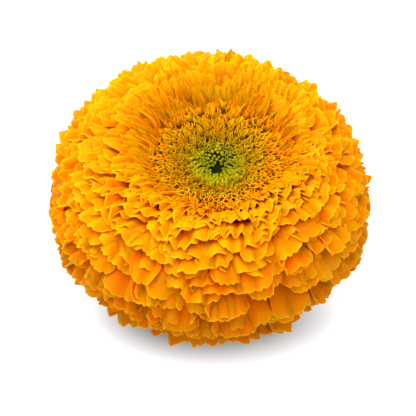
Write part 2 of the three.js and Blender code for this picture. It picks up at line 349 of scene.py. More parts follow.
# A petal's colours change between these shares of its length, counted from its root, or of
# its age, which goes from 0 at the eye to 1 at the calyx
FACE_PLACES = (0.4, 0.92)
YOUNG_AGES = (0.0, 0.2)
RIPE_AGES = (0.2, 0.5)
RIPE_SHADE = (0.94, 0.88, 1, 1)
# The lower rows are darkened by painted shade between these ages
LOWER_AGES = (0.38, 0.7)
LOWER_PAINTED_SHADE = (0.56, 0.61, 0.46, 1)
# Strength of the painted highlight along a petal's thin edge
RIM_HIGHLIGHT_STRENGTH = 0.6
PETAL_VEINS = 34.0
PETAL_EDGE = 0.11
# The painted highlight on a petal's thin edge fades out down its sides between these shares of
# its length
SIDE_EDGE_PLACES = (0.45, 0.8)
SURFACE_SHINE = 0.02
# Brightness of the painted highlight on a floret's top, over its own colour
FLORET_PAINTED_HIGHLIGHT = 1.3


class NodeSheet:
    """Short calls for placing and linking the nodes of one material or node group."""

    def __init__(self, tree):
        self.tree = tree

    def add(self, kind, inputs=None, **values):
        node = self.tree.nodes.new(kind)
        for name, value in values.items():
            setattr(node, name, value)
        for name, value in (inputs or {}).items():
            socket = node.inputs[name]
            if isinstance(value, bpy.types.NodeSocket):
                self.tree.links.new(value, socket)
            else:
                socket.default_value = value
        return node

    def maths(self, operation, first, second=0.0, third=0.0):
        node = self.add("ShaderNodeMath", {0: first, 1: second, 2: third}, operation=operation)
        return node.outputs[0]

    def mix_colour(self, factor, first, second, blend="MIX"):
        node = self.add("ShaderNodeMix", data_type="RGBA", blend_type=blend)
        for index, value in ((0, factor), (6, first), (7, second)):
            if isinstance(value, bpy.types.NodeSocket):
                self.tree.links.new(value, node.inputs[index])
            else:
                node.inputs[index].default_value = value
        return node.outputs[2]

    def step(self, low, high, value):
        """The same soft rise as smooth_step, as a node."""
        node = self.add("ShaderNodeMapRange", {
            "Value": value, "From Min": low, "From Max": high}, interpolation_type="SMOOTHSTEP")
        return node.outputs["Result"]

    def spread(self, low, high, value):
        """Stretches a value between 0 and 1 to one between low and high."""
        return self.maths("MULTIPLY_ADD", value, high - low, low)

    def attribute(self, name):
        return self.add("ShaderNodeAttribute", attribute_name=name).outputs["Fac"]

    def object_place(self):
        return self.add("ShaderNodeTexCoord").outputs["Object"]

    def bump(self, height, strength, distance):
        node = self.add("ShaderNodeBump", {
            "Height": height, "Strength": strength, "Distance": distance})
        return node.outputs[0]

    def surface(self, shader, colour, normal=None):
        """Links a colour, and a normal if there is one, to the shader."""
        self.tree.links.new(colour, shader.inputs["Base Color"])
        if normal is not None:
            self.tree.links.new(normal, shader.inputs["Normal"])


def petal_grain_group():
    """Fine veins along a petal, and a mask for its thin edge, which gets a painted highlight,
    both from its UV map.
    """
    name = "petal grain"
    if name in bpy.data.node_groups:
        return bpy.data.node_groups[name]
    group = bpy.data.node_groups.new(name, "ShaderNodeTree")
    for label, direction in (("Veins", "INPUT"), ("Edge", "INPUT"), ("Along", "OUTPUT"),
                             ("Edge mask", "OUTPUT"), ("Vein shade", "OUTPUT")):
        group.interface.new_socket(label, in_out=direction, socket_type="NodeSocketFloat")
    sheet = NodeSheet(group)
    given = sheet.add("NodeGroupInput")
    uv = sheet.add("ShaderNodeUVMap", uv_map="UVMap")
    parts = sheet.add("ShaderNodeSeparateXYZ", {0: uv.outputs[0]})
    along = parts.outputs[1]
    across = sheet.maths("ABSOLUTE", sheet.spread(-1.0, 1.0, parts.outputs[0]))
    tip = sheet.maths("SUBTRACT", 1.0, along)
    side = sheet.maths("SUBTRACT", 1.0, across)
    upper = sheet.step(*SIDE_EDGE_PLACES, along)
    side_far = sheet.maths("ADD", side, sheet.maths("SUBTRACT", 1.0, upper))
    nearest = sheet.maths("MINIMUM", tip, side_far)
    edge = sheet.maths("SUBTRACT", 1.0, sheet.maths("DIVIDE", nearest, given.outputs["Edge"]))
    edge_mask = sheet.step(0.0, 1.0, edge)
    stretched = sheet.add("ShaderNodeCombineXYZ", {
        0: sheet.maths("MULTIPLY", parts.outputs[0], given.outputs["Veins"]),
        1: sheet.maths("MULTIPLY", along, 3.0)})
    veins = sheet.add("ShaderNodeTexNoise", {
        "Vector": stretched.outputs[0], "Scale": 1.0, "Detail": 2.0})
    result = sheet.add("NodeGroupOutput")
    group.links.new(along, result.inputs["Along"])
    group.links.new(edge_mask, result.inputs["Edge mask"])
    group.links.new(veins.outputs["Fac"], result.inputs["Vein shade"])
    return group


def new_material(name, roughness, subsurface, radius):
    """A material with its node sheet and shader; the radius is how far light spreads in it."""
    material = bpy.data.materials.new(name)
    material.use_nodes = True
    shader = material.node_tree.nodes["Principled BSDF"]
    for label, value in (("Roughness", roughness), ("Subsurface Weight", subsurface),
                         ("Subsurface Radius", radius), ("Subsurface Scale", 1.0),
                         ("Specular IOR Level", SURFACE_SHINE)):
        shader.inputs[label].default_value = value
    return material, NodeSheet(material.node_tree), shader


def petal_material(name, face, root, rim, young):
    """A petal: deeper orange at the root, partly painted shade, a lighter face, a painted
    highlight on its thin edge and fine veins.

    The attribute age goes from 0 at the eye to 1 at the calyx, where painted shade darkens the
    petals most.
    """
    material, sheet, shader = new_material(
        name, roughness=0.5, subsurface=0.6, radius=(2.2 * MM, 0.8 * MM, 0.05 * MM))
    grain = sheet.add(
        "ShaderNodeGroup", {"Veins": PETAL_VEINS, "Edge": PETAL_EDGE},
        node_tree=petal_grain_group())
    age = sheet.attribute("age")
    # Root to face: partly the petal's own colour and partly painted shade near the root
    body = sheet.mix_colour(sheet.step(*FACE_PLACES, grain.outputs["Along"]), root, face)
    # The thin edge is lightened towards the rim colour: a painted highlight
    rim_highlighted = sheet.mix_colour(
        sheet.maths("MULTIPLY", grain.outputs["Edge mask"], RIM_HIGHLIGHT_STRENGTH), body, rim)
    opened = sheet.mix_colour(sheet.step(*YOUNG_AGES, age), young, rim_highlighted)
    ripe = sheet.mix_colour(sheet.step(*RIPE_AGES, age), opened, RIPE_SHADE, blend="MULTIPLY")
    # Painted shade on the lower rows
    shaded = sheet.mix_colour(sheet.step(*LOWER_AGES, age), ripe, LOWER_PAINTED_SHADE, blend="MULTIPLY")
    veined = sheet.add("ShaderNodeHueSaturation", {
        "Color": shaded,
        "Hue": sheet.spread(0.494, 0.506, sheet.attribute("tint")),
        "Value": sheet.spread(0.92, 1.08, grain.outputs["Vein shade"])})
    bump = sheet.bump(grain.outputs["Vein shade"], strength=0.25, distance=0.15 * MM)
    sheet.surface(shader, veined.outputs[0], bump)
    return material


def floret_material(name, inner, outer, painted_shade_value, painted_shade_height):
    """A floret in the eye: its colour goes from inner to outer with its place in the patch.

    Painted shade darkens it most up to the share of its height given, low between the florets,
    and a painted highlight brightens its top.
    """
    material, sheet, shader = new_material(
        name, roughness=0.5, subsurface=0.15, radius=(0.8 * MM, 0.5 * MM, 0.05 * MM))
    body = sheet.mix_colour(sheet.attribute("ripeness"), inner, outer)
    speckle = sheet.add("ShaderNodeTexNoise", {
        "Vector": sheet.object_place(), "Scale": 1800.0, "Detail": 3.0})
    # Painted shade low on the floret and a painted highlight at its top
    lit = sheet.step(painted_shade_height, 1.0, sheet.attribute("height"))
    varied = sheet.add("ShaderNodeHueSaturation", {
        "Color": body,
        "Hue": sheet.spread(0.485, 0.515, sheet.attribute("tint")),
        "Value": sheet.spread(painted_shade_value, FLORET_PAINTED_HIGHLIGHT, lit)})
    bump = sheet.bump(speckle.outputs["Fac"], strength=0.2, distance=0.1 * MM)
    sheet.surface(shader, varied.outputs[0], bump)
    return material


# Petals

PETAL_LENGTH = 12.0
PETAL_HALF_WIDTH = 4.5
PETAL_COLUMNS = 18
PETAL_ROWS = 5
# The rows of a modelled petal lie closer together towards its tip
ROW_CROWDING = 1.3
FULL_WIDTH_PLACE = 0.85
# Spread of the lobes' borders, of the notches' depths and of the folds' heights
LOBE_SPREAD = 0.35
NOTCH_SPREAD = (0.4, 1.3)
FOLD_SPREAD = 0.55
# Heights of the lobes and the waves, as shares of the ruffle
LOBE_BULGE = 0.15
WAVE_HEIGHT = 0.8
# A rolled petal has this share of the lift, and opens by this share at its tip
ROLLED_LIFT = 0.5
ROLL_OPENING = 0.3
ROOT_DEPTH = 1.2
CORE_SIDES = 96
CORE_STEPS = 16
CORE_RIDGES = 48
CORE_RIDGE = 0.012
CORE_ROUGHNESS = 0.004


class PetalShape(NamedTuple):
    """What makes one modelled petal differ from the next.

    Notch, ruffle, cup, curl and corner are lengths in millimetres, and roll is an angle. Waves
    counts the folds across, claw is the root's width as a share of the tip's, and margin is
    the waves along the sides as a share of the ruffle.
    """
    lobes: int
    notch: float
    ruffle: float
    waves: float
    cup: float
    curl: float = 0.0
    roll: float = 0.0
    claw: float = 0.4
    corner: float = 2.8
    margin: float = 0.5


# Lobes, notch, ruffle, waves, cup, curl and roll, and then what differs from the usual
FAN_SHAPES = [
    PetalShape(4, 0.7, 1.3, 1.6, -0.8, -0.9),
    PetalShape(4, 0.8, 1.5, 2.2, -0.4, -0.45),
    PetalShape(3, 0.9, 1.3, 1.3, 0.5, -1.2),
    PetalShape(5, 0.6, 1.7, 2.4, -1.1, 0.15),
    PetalShape(4, 0.8, 1.5, 1.5, 0.8, -0.6),
    PetalShape(5, 0.6, 1.4, 2.6, -0.7, -1.05),
    PetalShape(3, 0.9, 1.8, 1.9, -0.2, 0.6),
    PetalShape(4, 0.8, 1.7, 2.1, 0.9, -0.6),
    PetalShape(5, 0.7, 1.7, 2.3, 0.3, -0.45, 1.1),
    PetalShape(4, 0.7, 1.6, 1.8, 0.2, -0.6, 0.9),
    PetalShape(4, 0.8, 2.0, 1.7, -1.4, 0.45),
    PetalShape(3, 0.8, 1.7, 2.0, 0.5, -0.3, 1.2),
    PetalShape(5, 0.7, 1.5, 2.5, -0.9, -0.75),
    PetalShape(4, 0.8, 2.1, 2.7, 0.1, -0.15),
]
BROAD_SHAPES = [
    PetalShape(5, 0.5, 1.1, 1.7, -0.6, -0.9, margin=0.75),
    PetalShape(6, 0.5, 1.4, 2.2, 0.4, -0.45, margin=0.65),
    PetalShape(6, 0.45, 1.2, 2.0, -0.9, -0.75, margin=0.85),
    PetalShape(5, 0.55, 1.5, 2.6, 0.2, 0.0, margin=0.75),
    PetalShape(5, 0.6, 1.0, 1.4, 0.4, -0.75, margin=0.8),
    PetalShape(6, 0.45, 1.4, 2.4, -0.3, -0.3, margin=0.65),
    PetalShape(5, 0.55, 1.2, 1.8, -1.2, -0.6, margin=0.8),
    PetalShape(6, 0.5, 1.6, 2.1, 1.0, 0.3, 0.8),
]
ROUNDED_SHAPES = [
    PetalShape(4, 0.5, 0.9, 2.6, -0.5, -1.2, corner=3.2),
    PetalShape(5, 0.4, 1.1, 3.2, 0.3, -0.9, corner=3.0),
    PetalShape(4, 0.6, 0.8, 2.3, -0.3, -1.5, corner=3.3),
    PetalShape(5, 0.5, 1.2, 3.5, 0.2, -0.75, corner=2.9),
    PetalShape(3, 0.7, 0.9, 2.1, -0.8, -1.05, corner=3.2),
    PetalShape(5, 0.4, 1.0, 2.9, 0.4, -0.9, corner=3.1),
    PetalShape(4, 0.6, 1.3, 3.3, -0.4, -1.35, corner=2.9),
    PetalShape(6, 0.4, 0.9, 2.5, 0.1, -0.6, corner=3.3),
]
FUNNEL_SHAPES = [
    PetalShape(5, 1.9, 0.9, 2.4, 0.2, roll=4.4, claw=0.5),
    PetalShape(4, 2.1, 1.0, 2.0, 0.3, roll=3.4, claw=0.5),
    PetalShape(6, 1.8, 0.8, 2.6, 0.1, roll=5.0, claw=0.55),
    PetalShape(4, 2.3, 1.2, 2.2, 0.4, roll=2.6, claw=0.45),
]
PETAL_FORMS = {
    "fan": FAN_SHAPES, "broad": BROAD_SHAPES, "funnel": FUNNEL_SHAPES, "rounded": ROUNDED_SHAPES}
SEEDS_PER_FORM = 20

# How the petals vary. Places are shares of the way from the eye to the calyx, and a pair of
# them is where a change begins and ends.
FUNNEL_CHANCE = 0.6
FUNNEL_PLACES = (0.02, 0.14)
ROUNDED_PLACES = (0.16, 0.42)
ROUNDED_AGAIN = 0.8
FAN_CHANCE = 0.5
FAN_PLACES = (0.45, 0.66)
INNERMOST_PLACES = (0.08, 0.24)
FLANK_PLACES = (0.25, 0.6)
LOWEST_PLACES = (0.62, 0.82)
SIZE_SPREAD = (0.8, 1.15)
SIDE_SPREAD = 0.3
ARCH_SPREAD = (0.05, 0.55)
FLANK_ARCH = 0.5
INNERMOST_ARCH = 0.12
CREST_ROOT_SHIFT = 1.2
LONGEST = 0.02
MOST_TWIST = 0.42
# Values on the crest, with what is added on the flank and again in the lowest rows
PLACE_SPREAD = (0.01, 0.018, -0.017)
SHORTEST = (-0.08, -0.12, 0.13)
TWIST_SPREAD = (0.18, 0.16, -0.22)
YAW_SPREAD = (0.16, -0.06, -0.04)


def model_petal(name, shape, thickness, seed):
    """One flat petal along +Y with its face up: a grid fanned, notched, ruffled and thickened."""
    draw = np.random.default_rng(seed)
    deselect_all()
    bpy.ops.mesh.primitive_grid_add(
        x_subdivisions=PETAL_COLUMNS, y_subdivisions=PETAL_ROWS, size=2, location=(0, 0, 0))
    petal = bpy.context.object
    petal.name = name
    grid = coordinates(petal.data)
    across = grid[:, 0]
    along = 1 - (1 - (grid[:, 1] + 1) / 2) ** ROW_CROWDING

    borders = np.linspace(-1, 1, shape.lobes + 1)
    borders[1:-1] += draw.uniform(-LOBE_SPREAD, LOBE_SPREAD, shape.lobes - 1) / shape.lobes
    borders = np.rint(borders * PETAL_COLUMNS / 2) / (PETAL_COLUMNS / 2)
    depths = shape.notch * draw.uniform(*NOTCH_SPREAD, shape.lobes + 1)
    depths[[0, -1]] = 0
    lobe = np.clip(np.searchsorted(borders, across + 1e-4) - 1, 0, shape.lobes - 1)
    through = (across - borders[lobe]) / (borders[lobe + 1] - borders[lobe])
    bulge = np.sqrt(np.clip(4 * through * (1 - through), 0, 1))
    cut = (1 - bulge) * np.interp(across, borders, depths)
    corner = shape.corner * (1 - np.sqrt(1 - 0.99 * np.abs(across) ** 3))
    width = shape.claw + (1 - shape.claw) * smooth_step(0.0, FULL_WIDTH_PLACE, along)
    y = PETAL_LENGTH * along - corner * along ** 2 - cut * along ** 4
    x = PETAL_HALF_WIDTH * width * across

    folds = np.interp(across, borders, draw.normal(0, FOLD_SPREAD, shape.lobes + 1))
    wave = np.sin(math.pi * shape.waves * across + draw.uniform(0, math.tau))
    margin = np.sin(math.pi * 3 * along + draw.uniform(0, math.tau) * np.sign(across))
    ruffle = WAVE_HEIGHT * wave * along ** 2 + (folds + LOBE_BULGE * bulge) * along ** 3
    side_waves = shape.margin * margin * np.abs(across) ** 3 * along
    lift = (shape.ruffle * (ruffle + side_waves)
            + shape.cup * across ** 2 * along + shape.curl * along ** 4)
    if shape.roll:
        angle = shape.roll / 2 * across * (1 - ROLL_OPENING * along ** 3)
        radius = PETAL_HALF_WIDTH * width / (shape.roll / 2)
        x = (radius - ROLLED_LIFT * lift) * np.sin(angle)
        z = radius - (radius - ROLLED_LIFT * lift) * np.cos(angle)
    else:
        z = lift
    set_coordinates(petal.data, np.stack([x, y, z], 1) * MM)

    apply_modifier(petal, "SOLIDIFY", thickness=thickness, offset=0.0)
    shade_smooth(petal, crease=60)
    return petal


def bend_petal(mesh, root, tip, arch, azimuth, size, twist, yaw):
    """Bends a flat petal onto its curve from root to tip, both (radius, height)."""
    flat = coordinates(mesh) / MM
    scale = size / (2 * PETAL_HALF_WIDTH)
    reach = tip - root
    length = float(np.hypot(*reach))
    up_slope = np.array([-reach[1], reach[0]]) / length
    root = root - reach / length * ROOT_DEPTH
    bend = (root + tip) / 2 + up_slope * length * arch
    t = (flat[:, 1] / PETAL_LENGTH)[:, None]
    middle = (1 - t) ** 2 * root + 2 * t * (1 - t) * bend + t ** 2 * tip
    tangent = 2 * (1 - t) * (bend - root) + 2 * t * (tip - bend)
    tangent /= np.linalg.norm(tangent, axis=1)[:, None]
    normal = np.stack([-tangent[:, 1], tangent[:, 0]], 1)
    turn = twist * t[:, 0]
    x = flat[:, 0] * scale
    z = flat[:, 2] * scale
    side = x * np.cos(turn) - z * np.sin(turn) + yaw * t[:, 0] * length
    lift = x * np.sin(turn) + z * np.cos(turn)
    radial = middle[:, 0] + normal[:, 0] * lift
    height = middle[:, 1] + normal[:, 1] * lift
    cos, sin = math.cos(azimuth), math.sin(azimuth)
    placed = np.stack([radial * cos - side * sin, radial * sin + side * cos, height], 1)
    set_coordinates(mesh, placed * MM)


def petal_shares(size_at, packing):
    """Shares along the tip curve, so that each petal has the area that its size asks for."""
    steps = 2000
    shares = []
    filled = 0.0
    before = point_on(TIP_STEPS, 0)
    for i in range(steps):
        share = (i + 0.5) / steps
        after = point_on(TIP_STEPS, (i + 1) / steps)
        radius = (before[0] + after[0]) / 2
        room = packing * float(np.interp(share, CROWDING_PLACES, (CREST_CROWDING, 1)))
        filled += 2 * math.pi * radius * math.dist(before, after) / (room * size_at(share) ** 2)
        before = after
        if filled >= 1:
            filled -= 1
            shares.append(share)
    return shares


def choose_forms(share, draw, models):
    """The modelled petals that one at this place is copied from."""
    chance = draw.random()
    rounded = draw.random() > smooth_step(*ROUNDED_PLACES, share) or share > ROUNDED_AGAIN
    if chance < FUNNEL_CHANCE * float(1 - smooth_step(*FUNNEL_PLACES, share)):
        return models["funnel"]
    if rounded:
        return models["rounded"]
    fanned = chance < FAN_CHANCE and FAN_PLACES[0] < share < FAN_PLACES[1]
    return models["fan" if fanned else "broad"]


def place_petal(mesh, count, share, size, draw):
    """Bends a copied petal into its place, and stores its tint and age for the material."""
    lower = float(smooth_step(*FLANK_PLACES, share))
    lowest = float(smooth_step(*LOWEST_PLACES, share))

    def by_row(values):
        return values[0] + values[1] * lower + values[2] * lowest

    share = float(np.clip(share + draw.normal(0, by_row(PLACE_SPREAD)), 0, 1))
    root = point_on(ROOT_STEPS, share)
    tip = point_on(TIP_STEPS, share)
    tip = tip + (tip - root) * draw.uniform(by_row(SHORTEST), LONGEST)
    root = root - np.array([CREST_ROOT_SHIFT, 0.0]) * (1 - lower)
    innermost = 1 - float(smooth_step(*INNERMOST_PLACES, share))
    arch = draw.uniform(*ARCH_SPREAD) * (1 - FLANK_ARCH * lower) + INNERMOST_ARCH * innermost
    aside = draw.uniform(-SIDE_SPREAD, SIDE_SPREAD) * size / tip[0]
    twist = np.clip(draw.normal(0, by_row(TWIST_SPREAD)), -MOST_TWIST, MOST_TWIST)
    yaw = draw.normal(0, by_row(YAW_SPREAD))
    bend_petal(mesh, root, tip, arch, count * GOLDEN_ANGLE + aside, size, twist, yaw)
    add_value(mesh, "tint", draw.uniform(0, 1))
    # The age also sets the painted shade on the lower rows
    add_value(mesh, "age", share)


class MARIGOLD_OT_petals(bpy.types.Operator):
    """Model the petals in their spiral, from the edge of the eye down to the surface"""
    bl_idname = "marigold.petals"
    bl_label = "Petals"

    def execute(self, context):
        settings = context.scene.marigold_petals
        draw = np.random.default_rng(settings.seed)
        models = {
            kind: [model_petal(f"{kind}_{i}", shape, settings.thickness, at * SEEDS_PER_FORM + i)
                   for i, shape in enumerate(shapes)]
            for at, (kind, shapes) in enumerate(PETAL_FORMS.items())}

        def size_at(share):
            place = share * (len(WIDTH_STEPS) - 1)
            return settings.widest / MM * np.interp(place, range(len(WIDTH_STEPS)), WIDTH_STEPS)

        material = petal_material(
            "petal", face=tuple(settings.face_colour), root=tuple(settings.root_colour),
            rim=tuple(settings.rim_highlight_colour), young=tuple(settings.young_colour))
        bands = {"petals_inner": [], "petals_upper": [], "petals_middle": [], "petals_lower": []}
        shares = petal_shares(size_at, settings.packing)
        for count, share in enumerate(shares):
            forms = choose_forms(share, draw, models)
            petal = copy_piece(context, forms[draw.integers(len(forms))])
            size = size_at(share) * draw.uniform(*SIZE_SPREAD)
            place_petal(petal.data, count, share, size, draw)
            band = int(len(bands) * count / len(shares))
            list(bands.values())[band].append(petal)
        for forms in models.values():
            for form in forms:
                bpy.data.objects.remove(form)
        for name, petals in bands.items():
            piece = join_pieces(petals, name)
            lean_head(piece)
            finish_piece(piece, material, "petal", "petals")
            self.report({"INFO"}, f"{name}: {len(petals)} petals")
        return {"FINISHED"}


class MARIGOLD_OT_petal_core(bpy.types.Operator):
    """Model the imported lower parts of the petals, which carry them"""
    bl_idname = "marigold.petal_core"
    bl_label = "Petal core"

    def execute(self, context):
        settings = context.scene.marigold_petals
        rings = [point_on(ROOT_STEPS, 1 - i / CORE_STEPS) for i in range(CORE_STEPS + 1)]
        inner = [(EYE_RADIUS + 0.2, rings[-1][1] - 0.3), (EYE_RADIUS + 0.1, SEAT_HEIGHT)]
        rings = [(CALYX_MOUTH_RADIUS - 1, 12.6)] + [tuple(ring) for ring in rings] + inner
        core = turned_shell("petal_core", rings, CORE_SIDES, closed_top=True)
        draw = np.random.default_rng(settings.seed + 1)
        places = coordinates(core.data)
        azimuth = azimuth_of(places)
        ridge = (1 + CORE_RIDGE * np.cos(CORE_RIDGES * azimuth)
                 + draw.normal(0, CORE_ROUGHNESS, len(places)))
        places[:, :2] *= ridge[:, None]
        set_coordinates(core.data, places)
        shade_smooth(core)
        lean_head(core)
        material, sheet, shader = new_material(
            "petal bases", roughness=0.7, subsurface=0.0, radius=(1 * MM, 0.3 * MM, 0.05 * MM))
        noise = sheet.add("ShaderNodeTexNoise", {
            "Vector": sheet.object_place(), "Scale": 600.0, "Detail": 3.0})
        dark = tuple(0.5 * value for value in settings.root_colour[:3]) + (1.0,)
        colour = sheet.mix_colour(noise.outputs["Fac"], dark, tuple(settings.root_colour))
        sheet.surface(shader, colour)
        finish_piece(core, material, "petal", "petals")
        return {"FINISHED"}


# Eye

FLORET_SIDES = 10
FLORET_LOBES = 5
FLORET_LENGTH = 4.6
FLORET_THICKNESS = 0.15
YOUNG_GOLDEN_COLOUR = (0.39, 0.25, 0.001, 1)
YOUNG_GREEN_COLOUR = (0.15, 0.165, 0.002, 1)
HOLLOW_RADIUS = 1.0
BASE_SIDES = 60
# Flare, notch and tongue of the golden florets, from the middle of the eye to its edge
GOLDEN_SHAPES = [
    (0.36, 0.3, 0.3), (0.4, 0.45, 0.7), (0.46, 0.5, 0.8), (0.5, 0.7, 1.1),
    (0.58, 0.8, 0.8), (0.52, 0.7, 1.8), (0.56, 0.8, 2.4)]
# How ragged, lobed and flattened the mouths are, and how far out and down a tongue reaches
RIM_HEIGHT_SPREAD = 0.3
RIM_WIDTH_SPREAD = 0.2
RIM_LOBES = 0.32
RIM_FLATNESS = (0.3, 0.85)
TONGUE_LEAN = 0.35
TONGUE_THROAT = 0.4
THROAT_LOBES = -0.1
THROAT_WIDTH = 0.72
BUD_ROUGHNESS = 0.02
# Sideways spread of a floret, as a share of the spacing, and of its form in the list
FLORET_SPREAD = 0.2
FORM_SPREAD = 0.8


def model_golden_floret(name, flare, notch, tongue, seed):
    """A half-open floret: a slim tube with a ragged mouth, and a short tongue towards +X."""
    draw = np.random.default_rng(seed)
    throat_height = 3.7
    rim_height = 4.4
    rings = [(0.3, 0.0), (0.34, 1.6), (0.4, 2.8),
             (THROAT_WIDTH * flare, throat_height), (flare, rim_height)]
    floret = turned_shell(name, rings, FLORET_SIDES)
    places = coordinates(floret.data) / MM
    rim = places[:, 2] > rim_height - 0.1
    throat = (places[:, 2] > throat_height - 0.1) & ~rim
    azimuth = azimuth_of(places)
    lobe = np.cos(FLORET_LOBES * azimuth)
    outward = (1 + np.cos(azimuth)) / 2
    ragged = draw.uniform(-RIM_HEIGHT_SPREAD, RIM_HEIGHT_SPREAD, rim.sum())
    places[rim, 2] += notch * lobe[rim] + ragged
    uneven = draw.uniform(-RIM_WIDTH_SPREAD, RIM_WIDTH_SPREAD, rim.sum())
    places[rim, :2] *= (1 + RIM_LOBES * lobe[rim] + uneven)[:, None]
    places[rim, 1] *= draw.uniform(*RIM_FLATNESS)
    places[rim, 2] += tongue * outward[rim] ** 2
    places[rim, 0] += TONGUE_LEAN * tongue * outward[rim]
    places[throat, 2] += TONGUE_THROAT * tongue * outward[throat] ** 2
    places[throat, :2] *= (1 + THROAT_LOBES * lobe[throat])[:, None]
    set_coordinates(floret.data, places * MM)
    apply_modifier(floret, "SOLIDIFY", thickness=FLORET_THICKNESS * MM, offset=-1.0)
    shade_smooth(floret, crease=50)
    # Its height, for the painted shade low down and the painted highlight on top
    add_value(floret.data, "height", coordinates(floret.data)[:, 2] / (FLORET_LENGTH * MM))
    return floret


def model_green_floret(name, ribs, seed):
    """A closed bud with five soft ribs and a blunt tip."""
    draw = np.random.default_rng(seed)
    rings = [(0.3, 0.0), (0.42, 1.4), (0.52, 2.7), (0.52, 3.6), (0.4, 4.2), (0.12, FLORET_LENGTH)]
    bud = turned_shell(name, rings, FLORET_SIDES, closed_top=True)
    places = coordinates(bud.data) / MM
    lobe = np.cos(FLORET_LOBES * azimuth_of(places))
    ribbed = 1 + ribs * lobe * smooth_step(1.0, 3.5, places[:, 2])
    places[:, :2] *= ribbed[:, None]
    places += draw.uniform(-BUD_ROUGHNESS, BUD_ROUGHNESS, places.shape)
    set_coordinates(bud.data, places * MM)
    shade_smooth(bud)
    # Its height, for the painted shade low down and the painted highlight on top
    add_value(bud.data, "height", coordinates(bud.data)[:, 2] / (FLORET_LENGTH * MM))
    return bud


def floret_patch(context, forms, inner, outer, spacing, seed, place):
    """Copies of the florets in a spiral between two radii, with the spacing at each of them.

    The forms go from the inner to the outer edge, and place gives each floret's matrix.
    """
    draw = np.random.default_rng(seed)
    copies = []
    radius = inner
    while radius < outer:
        share = (radius - inner) / (outer - inner)
        apart = spacing[0] + (spacing[1] - spacing[0]) * share
        radius += SPIRAL_PACKING * apart ** 2 / (2 * math.pi * radius)
        aside = draw.uniform(-FLORET_SPREAD, FLORET_SPREAD) * apart / radius
        azimuth = len(copies) * GOLDEN_ANGLE + aside
        at = share * (len(forms) - 1) + draw.uniform(-FORM_SPREAD, FORM_SPREAD)
        form = forms[int(np.clip(round(at), 0, len(forms) - 1))]
        copy = copy_piece(context, form)
        copy.data.transform(place(radius, azimuth, draw))
        add_value(copy.data, "tint", draw.uniform(0, 1))
        add_value(copy.data, "ripeness", share)
        copies.append(copy)
    for form in forms:
        bpy.data.objects.remove(form)
    return copies


def floret_matrix(radius, azimuth, top_height, length, lean, width, spin):
    """Places a floret with its top at a radius and height, leaning out by an angle."""
    top = Vector((radius * math.cos(azimuth), radius * math.sin(azimuth), top_height)) * MM
    leaned = Matrix.Rotation(azimuth, 4, "Z") @ Matrix.Rotation(lean, 4, "Y")
    local = Matrix.Rotation(spin, 4, "Z") @ Matrix.Diagonal((width, width, length, 1))
    down = Matrix.Translation((0, 0, -FLORET_LENGTH * MM * length))
    return Matrix.Translation(top) @ leaned @ down @ local


def eye_base(name, inner, outer, drop, ridge):
    """The ridged bed that a patch of florets grows from, in the shade between them."""
    steps = 5
    start = max(inner, 0.3)
    rings = [(start, eye_height(inner) - drop - 1.5)]
    for i in range(steps + 1):
        radius = start + (outer - start) * i / steps
        rings.append((radius, eye_height(radius) - drop))
    rings.append((outer, SEAT_HEIGHT))
    base = turned_shell(name, rings, BASE_SIDES)
    places = coordinates(base.data)
    azimuth = azimuth_of(places)
    places[:, 2] += ridge * MM * np.cos(BASE_SIDES / 2 * azimuth)
    set_coordinates(base.data, places)
    # At height 0 the bed takes the florets' deepest painted shade
    for attribute, value in (("height", 0.0), ("tint", 0.5), ("ripeness", 0.3)):
        add_value(base.data, attribute, value)
    return base


class MARIGOLD_OT_golden_florets(bpy.types.Operator):
    """Model the ring of half-open golden florets in the eye"""
    bl_idname = "marigold.golden_florets"
    bl_label = "Golden florets"

    def execute(self, context):
        settings = context.scene.marigold_eye
        spacing = settings.golden_spacing / MM
        inner = GREEN_RADIUS - 1.6
        outer = EYE_RADIUS + 0.3
        forms = [model_golden_floret(f"golden_{i}", *shape, seed=i)
                 for i, shape in enumerate(GOLDEN_SHAPES, start=1)]

        def place(radius, azimuth, draw):
            share = (radius - inner) / (outer - inner)
            return floret_matrix(
                radius, azimuth, eye_height(radius) - 0.5 + draw.uniform(-0.9, 0.6),
                length=draw.uniform(0.85, 1.15),
                lean=-0.2 + 0.85 * share + draw.normal(0, 0.2),
                width=(0.85 + 0.5 * share) * draw.uniform(0.8, 1.2),
                spin=draw.normal(0, 0.6))

        florets = floret_patch(
            context, forms, inner, outer, (0.8 * spacing, 1.2 * spacing), seed=7, place=place)
        base = eye_base("golden_base", inner, outer, drop=2.6, ridge=0.15)
        piece = join_pieces([*florets, base], "golden_tubes")
        lean_head(piece)
        material = floret_material(
            "golden floret", inner=YOUNG_GOLDEN_COLOUR, outer=tuple(settings.golden_colour),
            painted_shade_value=0.12, painted_shade_height=0.5)
        finish_piece(piece, material, "golden_floret", "golden_florets")
        self.report({"INFO"}, f"{len(florets)} golden florets")
        return {"FINISHED"}


